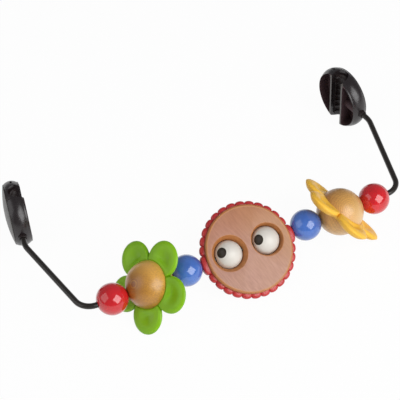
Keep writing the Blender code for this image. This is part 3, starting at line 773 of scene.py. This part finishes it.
def petal_section(x, y, crease):
    """Distances from the axis and heights, round the section through one point of the outline."""
    reach = hypot(x, y)
    crest = reach - EDGE_REACH

    def at(distance):
        return petal_heights(x * distance / reach, y * distance / reach, crease)

    def on_ball(height):
        return sqrt(BALL_SEAT**2 - height**2), height

    top, bottom = at(BALL_SEAT)
    outwards = [BALL_SEAT + (crest - BALL_SEAT) * (k / 24) ** 1.3 for k in range(1, 25)]
    edge = arc(0, RIM_HEIGHT - EDGE_ROUND - crease, EDGE_ROUND, 90, 0, 10)[1:]
    homewards = [reach + (BALL_SEAT - reach) * k / 14 for k in range(1, 14)]
    section = [on_ball(top)] + [(distance, at(distance)[0]) for distance in outwards]
    section += [(crest + across * EDGE_REACH / EDGE_ROUND, height) for across, height in edge]
    section += [(distance, at(distance)[1]) for distance in homewards]
    return section + [on_ball(bottom + (top - bottom) * k / 4) for k in range(4)]


def petal_mesh(steps=44):
    half = pi / PETALS
    notch = PETAL_CENTRE * cos(half) + sqrt(PETAL_RADIUS**2 - (PETAL_CENTRE * sin(half)) ** 2)
    sweep = pi - acos((PETAL_CENTRE - notch * cos(half)) / PETAL_RADIUS)
    sections = []
    for step in range(steps + 1):
        angle = sweep * (2 * step / steps - 1)
        x, y = PETAL_CENTRE + PETAL_RADIUS * cos(angle), PETAL_RADIUS * sin(angle)
        around = atan2(y, x)
        crease = CREASE * max(0.0, 1 - (half - abs(around)) / CREASE_SPREAD) ** 1.6
        sections.append((around, petal_section(x, y, crease)))
    return fan(sections, "petal")


# %% Set out the petals
for hand, place, colour, plastic in (
    ("left", LEFT_FLOWER, "green", green_plastic),
    ("right", RIGHT_FLOWER, "yellow", yellow_plastic),
):
    bloom = set_out(petal_mesh(), Count=PETALS, First_turn=0.0, Turn_step=2 * pi / PETALS)
    piece(
        f"{colour}_flower_petals",
        welded("flower", bloom),
        f"{hand}_flower",
        [f"{colour}_flower"],
        f"petal_{colour}",
        plastic,
        place,
        sharp=50,
    )

# %% [markdown]
# ## Face disc
# The disc is turned from a board and drilled for the eyes. Its edge and the walls of its holes were
# scorched by the tool, so they are darker. The holes narrow from the face to the back. The pattern
# on the face is fine straight grain, and the scorch is the distance from the rim or from a hole.
# On top of that, light and shade are painted: the face is painted darker towards its upper left, a
# lighter orange band just inside the rim's scorch is painted edge light, and deep in the holes the
# walls are painted near black as shade.

# %% Disc
DISC_RADIUS, DISC_HALF, DISC_DROP, DISC_TILT = 41.9, 7.75, 2.3, radians(35.0)
FACE_EDGE, BACK_EDGE = 1.7, 1.2
EYE_X, EYE_SLIDE, EYE_RADIUS, EYE_PLAY = 19.2, -0.2, 13.35, 0.25
MOUTHS, MOUTH_EDGE, MOUTH_FLARE = (16.8, 15.4), 0.45, 0.7
HOLE_CURVE, NECK, NECK_Z, BACK_NARROWS = 2.2, 0.1, -3.0, 1.6
# The last of these is where the band of painted edge light begins, inside the rim.
SCORCH, SCORCH_FULL, EDGE_LIGHT_BAND = 2.1, 1.2, 2.8
HOLE_SCORCH, HOLE_SCORCH_FULL = 0.9, 0.3
DISC = Matrix.Rotation(DISC_TILT, 4, "X") @ Matrix.Translation((0, -DISC_DROP, 0))


def eye_hole(mouth):
    """The tool for one hole. It narrows from its mouth and closes in round the eye bead."""
    waist, edge, clear = EYE_RADIUS + EYE_PLAY, DISC_HALF - MOUTH_EDGE, DISC_HALF + OVERRUN
    back = waist - BACK_NARROWS
    profile = [(0, clear), (mouth + MOUTH_FLARE, clear), (mouth + MOUTH_EDGE, DISC_HALF)]
    profile += arc(mouth + MOUTH_EDGE, edge, MOUTH_EDGE, 90, 180, 4)
    for share in (1 - step / 8 for step in range(1, 9)):
        profile.append((waist + (mouth - waist) * share**HOLE_CURVE, edge * share))
    profile += [(waist - NECK, NECK_Z), (back, -DISC_HALF), (back, -clear), (0, -clear)]
    tool = turned(profile, 128)
    for corner in tool.vertices:
        corner.co.x += EYE_SLIDE * (1 - smooth(corner.co.z, 0.0, DISC_HALF - 0.5))
    return tool


edge = arc(DISC_RADIUS - FACE_EDGE, DISC_HALF - FACE_EDGE, FACE_EDGE, 90, 0, 9)
edge += arc(DISC_RADIUS - BACK_EDGE, BACK_EDGE - DISC_HALF, BACK_EDGE, 0, -90, 6)
disc = turned([(0, DISC_HALF)] + edge + [(0, -DISC_HALF)], 180)
for side, mouth in zip((-1, 1), MOUTHS):
    hole = eye_hole(mouth)
    hole.transform(Matrix.Translation((side * EYE_X, DISC_DROP, 0)))
    disc = carved(disc, hole)
through = rod(BORE, -FAR, FAR)
through.transform(Matrix.Translation((0, DISC_DROP, 0)))
disc = carved(disc, through)


def disc_wood():
    wood = Finish("face_disc_wood")
    where = wood.mapped(TOY @ DISC)
    x, y, z = wood.parts(where)

    def from_point(cx, cy):
        """The distance from a point of the face, a little uneven."""
        dx, dy = wood.math("SUBTRACT", x, cx * MM), wood.math("SUBTRACT", y, cy * MM)
        return wood.math("ADD", wood.length(dx, dy), uneven)

    def between(value, start, end):
        """Nought to one as a length goes from a start to an end, in millimetres."""
        return wood.span(value, start * MM, end * MM, "SMOOTHSTEP")

    def towards(across, up):
        """How far a point lies in a direction across the face."""
        return wood.math("MULTIPLY_ADD", x, across, wood.math("MULTIPLY", y, up))

    uneven = wood.math("MULTIPLY_ADD", wood.noise(180, 3, where), 0.0012, -0.0006)
    rim = from_point(0, 0)
    scorch = between(rim, DISC_RADIUS - SCORCH, DISC_RADIUS - SCORCH_FULL)
    for side, mouth in zip((-1, 1), MOUTHS):
        off_eye = from_point(side * EYE_X, DISC_DROP)
        at_hole = between(off_eye, mouth + HOLE_SCORCH, mouth + HOLE_SCORCH_FULL)
        scorch = wood.math("MAXIMUM", scorch, at_hole)
    slant = TOY @ DISC @ Matrix.Rotation(radians(-72), 4, "Z")
    grain = wood.noise(1100, 4, wood.mapped(slant, (0.13, 1, 1)))
    streak = wood.ramp(grain, (0.35, 0.0), (0.65, 1.0))
    cloud = wood.ramp(wood.noise(38, 3, where), (0.3, 0.0), (0.72, 1.0))
    # Painted shade: the face is darker towards its upper left.
    shade = wood.math("MULTIPLY", between(towards(-0.42, 0.91), -10, 36), 0.85)
    warmth = between(towards(0.8, 0.6), -2, 34)
    # Painted light: a lighter orange band just inside the rim's scorch, for the light that the
    # rounded edge catches.
    painted_edge_light = wood.math("MULTIPLY", between(rim, DISC_RADIUS - EDGE_LIGHT_BAND, DISC_RADIUS - SCORCH), 0.6)
    face = wood.mix(wood.math("MULTIPLY", streak, 0.6), (0.49, 0.25, 0.178), (0.35, 0.165, 0.118))
    face = wood.mix(wood.math("MULTIPLY", cloud, 0.5), face, (0.48, 0.255, 0.15))
    face = wood.mix(shade, face, (0.86, 0.65, 0.50), "MULTIPLY")
    face = wood.mix(warmth, face, (1.0, 0.95, 0.68), "MULTIPLY")
    face = wood.mix(painted_edge_light, face, (0.54, 0.26, 0.11))
    # Painted shade: deep in the holes the scorched walls are painted near black.
    in_hole = wood.math("LESS_THAN", rim, (DISC_RADIUS - 3) * MM)
    deep = wood.math("MULTIPLY", between(z, 1.4, -0.4), in_hole)
    scorch_and_hole_shade = wood.mix(wood.noise(260, 3, where), (0.53, 0.212, 0.062), (0.40, 0.142, 0.038))
    scorch_and_hole_shade = wood.mix(deep, scorch_and_hole_shade, (0.10, 0.038, 0.014))
    wood.set(
        Base_Color=wood.mix(scorch, face, scorch_and_hole_shade),
        Roughness=wood.ramp(grain, (0.3, 0.38), (0.7, 0.5)),
    )
    wood.bump(streak, 0.02, 0.5)
    return wood.material


piece("wooden_face_disc", disc, "face", ["face_disc"], "disc_wood", disc_wood(), DISC)

# %% [markdown]
# ## Ring round the disc
# The plastic ring has places for thirty lobes. On each side a smooth boss takes two of them, where
# the wire goes through. A lobe is a fan of sections whose height and width swell and fall, and it
# is set out thirteen times along each half of the ring.

# %% Lobes and bosses
RING_INNER = DISC_RADIUS + SNUG
VALLEY, BAND_HALF = RING_INNER + 2.15, 2.2
LOBE_HEIGHT, LOBE_HALF, LOBE_SQUARE = 2.2, 3.2, 0.25
BOSS_REACH, BOSS_HALF, BOSS_SQUARE = 47.4, 5.0, 1.2
PLACES = 30
PITCH = 2 * pi / PLACES


def ring_section(reach, half, squareness, steps=14):
    """A half round from the back of the ring to its front, more square as squareness grows."""
    points = []
    for around in (pi * step / steps for step in range(steps + 1)):
        height = half * copysign(abs(cos(around)) ** (1 / squareness), cos(around))
        points.append((RING_INNER + (reach - RING_INNER) * sin(around) ** (1 / squareness), height))
    return points


def lobe_section(share):
    swell = sqrt(max(0.0, 1 - share**2))
    half = BAND_HALF + swell * (LOBE_HALF - BAND_HALF)
    return ring_section(VALLEY + LOBE_HEIGHT * swell, half, 1 + LOBE_SQUARE * swell)


def boss_section(share):
    swell = sqrt(max(0.0, 1 - share**2))
    reach = VALLEY + (BOSS_REACH / cos(PITCH * share) - VALLEY) * swell
    half = BAND_HALF + swell * (BOSS_HALF - BAND_HALF)
    return ring_section(reach, half, 1 + BOSS_SQUARE * swell)


def stretch(span, section_at, steps):
    """A stretch of the ring across one span of angle, centred on X."""
    shares = [2 * step / steps - 1 for step in range(steps + 1)]
    return fan([(span / 2 * share, section_at(share)) for share in shares], "stretch")


lobes = [
    set_out(
        stretch(PITCH, lobe_section, 16), Count=PLACES // 2 - 2, First_turn=first, Turn_step=PITCH
    )
    for first in (PITCH * 1.5, pi + PITCH * 1.5)
]
bosses = set_out(stretch(2 * PITCH, boss_section, 36), Count=2, First_turn=0.0, Turn_step=pi)
ring = carved(welded("ring", *lobes, bosses), through)
piece(
    "scalloped_plastic_ring", ring, "face", ["scalloped_ring"], "ring_red", ring_plastic, DISC,
    sharp=60,
)

# %% [markdown]
# ## Eyes
# Each eye is a white bead on the wire inside its hole, so it rolls. A dark pupil is let into it, a
# hair below the paint.

# %% Eyes
PUPIL, PUPIL_DEPTH, PUPIL_PLAY = 4.8, 0.9, 0.2


def eye(hand, side, from_bore, turn):
    """An eye bead and its pupil, at an angle from the bore and turned about it."""
    look = (-cos(from_bore), -sin(from_bore) * sin(turn), sin(from_bore) * cos(turn))
    gaze = facing(Vector(look))
    place = Matrix.Translation((side * EYE_X + EYE_SLIDE, 0, 0))
    floor = sqrt(EYE_RADIUS**2 - PUPIL**2) - PUPIL_DEPTH
    high, wide, low = EYE_RADIUS + OVERRUN, PUPIL + PUPIL_PLAY, floor - GAP
    seat = turned([(0, high), (wide, high), (wide, low), (0, low)], 64)
    seat.transform(gaze)
    white = bored_ball(EYE_RADIUS, 80, 3.6, 0.15)
    white.transform(ALONG_BAR)
    white = eased(carved(white, seat), 0.12)
    dome = arc(0, 0, EYE_RADIUS, 90, degrees(acos(PUPIL / EYE_RADIUS)), 10)
    pupil = eased(turned(dome + [(PUPIL, floor), (0, floor)], 64), 0.15)
    body = f"{hand}_eye"
    piece(f"white_eye_{hand}", white, body, [f"eye_{hand}"], "eye_white", eye_paint, place)
    piece(
        f"dark_pupil_{hand}", pupil, body, [f"pupil_{hand}"], "pupil_dark", pupil_plastic,
        place @ gaze,
    )


eye("left", -1, radians(52.5), radians(16.5))
eye("right", 1, radians(48.0), radians(21.0))

# %% [markdown]
# ## Clips
# A clip is a round moulding, open on the side that faces the other clip. A channel runs across it
# for the rail, with a hollow on each side, and the wire ends in a socket in the wall. The block is
# turned, with a slightly longer jaw on the side of the wire, then the channel, hollows, socket and
# rim slots are cut from it.

# %% Clip body
CROWN, CLIP_DEPTH, FACE_ROUND, FACE_Z = 2.3, 15.0, 2.0, -8.0
BACK_Z, OUTSIDE = FACE_Z + CLIP_DEPTH, FACE_Z - 5.0
LONG_JAW, JAW_STEP = 1.4, 0.5
CHANNEL, CHANNEL_WALL, CHANNEL_Z = 8.3, 2.1, -3.8
RIM_WALL, POCKET_CORNER, POCKET_FLOOR = 3.0, 2.5, BACK_Z - 3.2
SOCKET, BUSH_HOLE, BUSH_HOLE_DEPTH = 5.0, 4.1, 3.3
RECESS, RECESS_DEPTH = 26.5, 1.3
SLOT_HALF, SLOT_ROUND, SLOT_DEPTH, SLOT_TURN, SLOT_RISE = 2.1, 0.9, 1.2, radians(62), 7.5


def clip_block(depth):
    """A round block with a crowned rim, whose open face has a rounded edge."""
    half = (depth - FACE_ROUND) / 2
    crown = (half**2 + CROWN**2) / (2 * CROWN)
    spread = degrees(asin(half / crown))
    front = BACK_Z - depth
    rim = arc(CLIP_RADIUS - crown, BACK_Z - half, crown, spread, -spread, 20)
    rim += arc(CLIP_RADIUS - CROWN - FACE_ROUND, front + FACE_ROUND, FACE_ROUND, 0, -90, 5)[1:]
    return turned([(0, BACK_Z)] + rim + [(0, front)], 144)


def beyond(start, side):
    """The tool for all that lies beyond a plane across the arm."""
    low, high = sorted((start, start + side * 3 * CLIP_RADIUS))
    return slab([(low, -FAR), (high, -FAR), (high, FAR), (low, FAR)], -FAR, FAR)


def channel_tool():
    outline = arc(0, CHANNEL_Z, CHANNEL, 0, 180, 32) + [(-CHANNEL, OUTSIDE), (CHANNEL, OUTSIDE)]
    tool = slab(outline, -CLIP_RADIUS - OVERRUN, CLIP_RADIUS + OVERRUN)
    tool.transform(Matrix.Rotation(pi / 2, 4, "X"))
    return tool


def pocket_tool(side):
    """The tool for the hollow between the channel's wall and the rim."""
    near = CHANNEL + CHANNEL_WALL + POCKET_CORNER
    reach = CLIP_RADIUS - RIM_WALL
    tip = asin(near / (reach - POCKET_CORNER))
    lean = 90 - degrees(tip)
    corner = arc(near, (reach - POCKET_CORNER) * cos(tip), POCKET_CORNER, 180, lean, 8)
    outline = corner + arc(0, 0, reach, lean, -lean, 40)[1:-1]
    outline += [(x, -y) for x, y in corner[::-1]]
    return slab([(side * x, y) for x, y in outline], OUTSIDE, POCKET_FLOOR)


def slot_tool(up):
    half, ends = SLOT_HALF, SLOT_ROUND
    outline = arc(half, 0, ends, -90, 90, 8) + arc(-half, 0, ends, 90, 270, 8)
    tool = slab(outline, CLIP_RADIUS - SLOT_DEPTH, CLIP_RADIUS + OVERRUN)
    turn = Matrix.Rotation(up * SLOT_TURN, 4, "Z") @ ALONG_BAR @ Matrix.Rotation(pi / 2, 4, "Z")
    tool.transform(Matrix.Translation((0, 0, FACE_Z + SLOT_RISE)) @ turn)
    return tool


far_jaw = carved(clip_block(CLIP_DEPTH), beyond(-CHANNEL, -1))
near_jaw = carved(clip_block(CLIP_DEPTH + LONG_JAW), beyond(JAW_STEP - CHANNEL, 1))
body_mesh = carved(far_jaw, near_jaw, "UNION")
for tool in (channel_tool(), pocket_tool(-1), pocket_tool(1)):
    body_mesh = carved(body_mesh, tool)
socket = rod(SOCKET, RIM_WALL / 2 - CLIP_RADIUS, -CHANNEL - CHANNEL_WALL / 2)
body_mesh = carved(body_mesh, socket, "UNION")
high, low = BACK_Z + OVERRUN, BACK_Z - RECESS_DEPTH
for tool in (
    rod(BORE, -CLIP_RADIUS - OVERRUN, WIRE_END + GAP),
    rod(BUSH_HOLE, -CLIP_RADIUS - OVERRUN, BUSH_HOLE_DEPTH - CLIP_RADIUS),
    turned([(0, high), (RECESS, high), (RECESS, low), (0, low)], 96),
    slot_tool(-1),
    slot_tool(1),
):
    body_mesh = carved(body_mesh, tool)
body_mesh = eased(body_mesh, 0.25)

# %% [markdown]
# The moulding has three finishes: the black of the outside, the rough hollows, and the end faces of
# the channel's walls, whose lighter grey is a painted reflection. Which one a face has follows from
# where it lies.

# %% Finishes of the clip body
CLIP_FINISHES, MARGIN = (clip_plastic, inner_plastic, painted_reflection_plastic), 0.2
for face in body_mesh.polygons:
    x, y, z = face.center
    outside_channel = abs(x) - CHANNEL
    inside_rim = hypot(x, y) < CLIP_RADIUS - RIM_WALL + MARGIN / 2
    # End faces of the channel's walls take the painted reflection; faces in the hollows take the
    # rough finish.
    if z < FACE_Z + 2 * MARGIN and -MARGIN < outside_channel < CHANNEL_WALL + MARGIN:
        face.material_index = CLIP_FINISHES.index(painted_reflection_plastic)
    elif z < POCKET_FLOOR + MARGIN and outside_channel > CHANNEL_WALL - MARGIN / 2 and inside_rim:
        face.material_index = CLIP_FINISHES.index(inner_plastic)
print("clip body:", len(body_mesh.polygons), "faces")

# %% [markdown]
# The closed back of the clip is a shallow dome. The seat in the channel is half a sleeve of rubber
# with ribs across it, which the tree sets out along the channel. A short bush closes the hole round
# the wire.

# %% Cover, seat and bush
COVER_REACH, COVER_EDGE, DOME = CLIP_RADIUS - CROWN, 0.7, 4.2
base, spigot = BACK_Z + SNUG, RECESS - GAP
foot = base - RECESS_DEPTH + GAP
dome_radius = (COVER_REACH**2 + DOME**2) / (2 * DOME)
spread = degrees(asin(COVER_REACH / dome_radius))
dome = arc(0, base + COVER_EDGE + DOME - dome_radius, dome_radius, 90, 90 - spread, 24)
cover_mesh = turned(dome + [(COVER_REACH, base), (spigot, base), (spigot, foot), (0, foot)], 144)
cover_mesh = eased(cover_mesh, 0.3, 3, 30)

SEAT_OUTER, SEAT_INNER, RIBS = 8.0, 6.6, 7
RIB, RIB_HALF, RIB_PITCH = 1.2, 1.1, 7.6


def half_sleeve(inner_profile, outer, steps=32):
    """Half of a turned sleeve, from its inner profile of radius and height, which runs upwards."""
    section = [(outer, inner_profile[-1][1]), (outer, inner_profile[0][1])] + inner_profile
    return fan([(pi * k / steps, section) for k in range(steps + 1)], "half_sleeve", capped=True)


rib_profile = [(SEAT_INNER, -RIB_PITCH / 2), (SEAT_INNER, -RIB_HALF)]
for share in (k / 4 for k in range(-3, 4)):
    rib_profile.append((SEAT_INNER - RIB * (0.5 + 0.5 * cos(pi * share)), RIB_HALF * share))
rib_profile += [(SEAT_INNER, RIB_HALF), (SEAT_INNER, RIB_PITCH / 2)]
first = -(RIBS - 1) / 2 * RIB_PITCH
sleeve = half_sleeve(rib_profile, SEAT_OUTER)
seat_mesh = welded("seat", set_out(sleeve, Count=RIBS, First_height=first, Height_step=RIB_PITCH))
seat_mesh.transform(Matrix.Translation((0, 0, CHANNEL_Z)) @ Matrix.Rotation(pi / 2, 4, "X"))

BUSH_STAND, BUSH_ROUND = 3.0, 0.6
bush, inner = BUSH_HOLE - GAP, BUSH_HOLE_DEPTH - GAP - CLIP_RADIUS
outer = -CLIP_RADIUS - BUSH_STAND
bush_edge = arc(bush - BUSH_ROUND, outer + BUSH_ROUND, BUSH_ROUND, 0, -90, 5)
bush_mesh = turned([(bush, inner)] + bush_edge + [(BORE, outer), (BORE, inner)], 48, closed=True)
bush_mesh.transform(ALONG_BAR)
print("rubber seat:", RIBS, "ribs", RIB_PITCH, "mm apart")

# %% Set the clips on the wire
for hand, side in (("left", -1), ("right", 1)):
    away = clip_direction(side)
    outward = Vector((side * cos(TOE_IN), sin(TOE_IN), 0))
    place = axes(away, outward.cross(away), outward, clip_centre(side))
    for label, mesh, node, slot, finish in (
        ("clip_moulding", body_mesh, "clip_body", "clip_black", CLIP_FINISHES),
        ("clip_dome", cover_mesh, "clip_cover", "clip_black", cover_plastic),
        ("ribbed_seat", seat_mesh, "clip_grip", "rubber_black", seat_rubber),
        ("wire_bush", bush_mesh, "wire_grommet", "rubber_black", seat_rubber),
    ):
        piece(f"{label}_{hand}", mesh.copy(), "frame", [f"{node}_{hand}"], slot, finish, place)

# %% [markdown]
# ## Floor and light
# The toy lies on a plain white floor, which keeps only a little of its own shade for the camera.
# One large square lamp hangs in front and to the right, whose picture is the small bright square on
# every bead. A second, larger and dimmer one fills from the upper left. A pale world lights the
# rest, and the camera sees it as white.

# %% Floor
FLOOR_HALF, FLOOR_WHITE = 4, 0.96
paper = Finish("pale_floor")
paper.set(
    Base_Color=paper.mix(paper.noise(3, 2), (0.93, 0.93, 0.93), (0.90, 0.90, 0.90)),
    Roughness=0.7,
    Specular_IOR_Level=0.1,
)
paper.bump(paper.noise(260, 3), 0.02, 0.3)
rays = paper.add("ShaderNodeLightPath").outputs
seen = paper.math("ADD", rays["Is Camera Ray"], rays["Is Glossy Ray"])
seen = paper.math("MULTIPLY", paper.math("ADD", seen, rays["Is Transmission Ray"]), FLOOR_WHITE)
both = paper.add("ShaderNodeMixShader", Fac=seen)
plain_white = paper.add("ShaderNodeEmission", Strength=1.0)
paper.links.new(paper.shader.outputs["BSDF"], both.inputs[1])
paper.links.new(plain_white.outputs[0], both.inputs[2])
paper.links.new(both.outputs[0], paper.nodes["Material Output"].inputs["Surface"])
sheet = bpy.data.meshes.new("floor")
corners = [(x * FLOOR_HALF, y * FLOOR_HALF, 0) for x, y in ((-1, -1), (1, -1), (1, 1), (-1, 1))]
sheet.from_pydata(corners, [], [(0, 1, 2, 3)])
sheet.materials.append(paper.material)
floor = bpy.data.objects.new("floor", sheet)
floor.location.z = -0.0002
bpy.context.scene.collection.objects.link(floor)


# %% Lamps and world
def lamp(name, direction, distance, size, radiance, roll=0.0):
    """A square lamp that looks at the toy. Its radiance is how bright its own face is."""
    data = bpy.data.lights.new(name, "AREA")
    data.size = size
    data.energy = radiance * pi * size**2
    made = bpy.data.objects.new(name, data)
    bpy.context.scene.collection.objects.link(made)
    towards = Vector(direction).normalized()
    made.location = towards * distance
    turn = towards.to_track_quat("Z", "Y") @ Matrix.Rotation(roll, 3, "Z").to_quaternion()
    made.rotation_euler = turn.to_euler()


lamp("key", (0.313, -0.757, 0.572), 1.5, 1.25, 3.95, radians(20))
lamp("fill", (-0.825, 0.055, 0.563), 2.0, 1.7, 1.1)
world = bpy.data.worlds.new("studio")
bpy.context.scene.world = world
world.use_nodes = True
sky, link = world.node_tree.nodes, world.node_tree.links.new
light, backdrop = sky["Background"], sky.new("ShaderNodeBackground")
light.inputs["Color"].default_value = (0.95, 0.97, 1.0, 1)
light.inputs["Strength"].default_value = 0.26
backdrop.inputs["Color"].default_value = (1, 1, 1, 1)
sort, view = sky.new("ShaderNodeMixShader"), sky.new("ShaderNodeLightPath")
link(view.outputs["Is Camera Ray"], sort.inputs["Fac"])
link(light.outputs[0], sort.inputs[1])
link(backdrop.outputs[0], sort.inputs[2])
link(sort.outputs[0], sky["World Output"].inputs["Surface"])
bpy.context.scene.view_settings.view_transform = "Standard"
